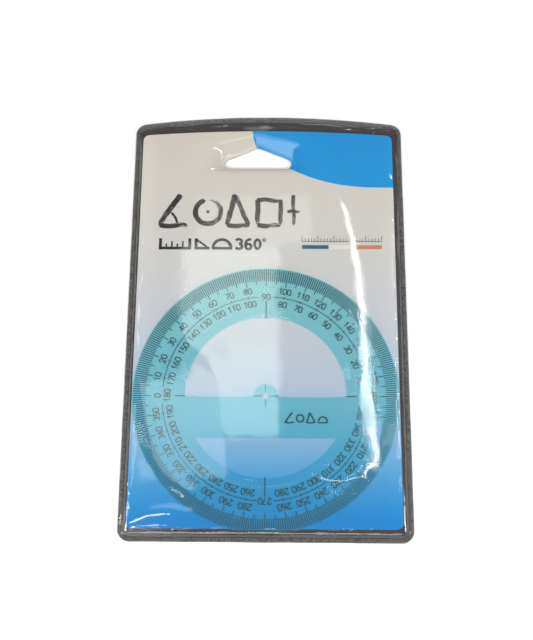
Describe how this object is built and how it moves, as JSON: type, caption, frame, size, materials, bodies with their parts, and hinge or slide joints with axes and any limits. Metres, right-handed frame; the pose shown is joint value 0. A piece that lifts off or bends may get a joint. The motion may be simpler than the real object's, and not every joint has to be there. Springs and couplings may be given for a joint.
{
  "type": "protractor",
  "caption": "Full-circle tinted clear protractor with bevelled rim, open windows and crossbar, lying on a printed hanging card in a clear film pouch.",
  "frame": {"origin": "middle of the pouch's underside, on the surface that it lies on", "axes": "+Z out of the printed front; +Y towards the hang slot; +X to the right as the scale is read"},
  "size_m": [0.1288, 0.202, 0.0034],
  "materials": {
    "pouch_film": "clear soft film, glossy",
    "pouch_back_film": "clear soft film, glossy",
    "card_print": "coated board, satin print",
    "tinted_plastic": "polished, tinted clear",
    "tick_ink": "printed ink film",
    "numeral_ink": "printed ink film"
  },
  "bodies": {
    "pouch": {"pouch_back_sheet": "pouch_back_film", "pouch_front_sheet": "pouch_film"},
    "card": {"backing_card": "card_print"},
    "protractor": {"protractor_disc": "tinted_plastic", "degree_ticks": "tick_ink", "outer_numerals": "numeral_ink", "inner_numerals": "numeral_ink", "scale_lines": "tick_ink"}
  },
  "joints": [
    {"name": "protractor_slide", "type": "slide", "parent": "pouch", "child": "protractor", "axis": [0, 1, 0], "range_m": [0, 0.046]},
    {"name": "card_slide", "type": "slide", "parent": "pouch", "child": "card", "axis": [0, 1, 0], "range_m": [-0.0025, 0.003]}
  ]
}
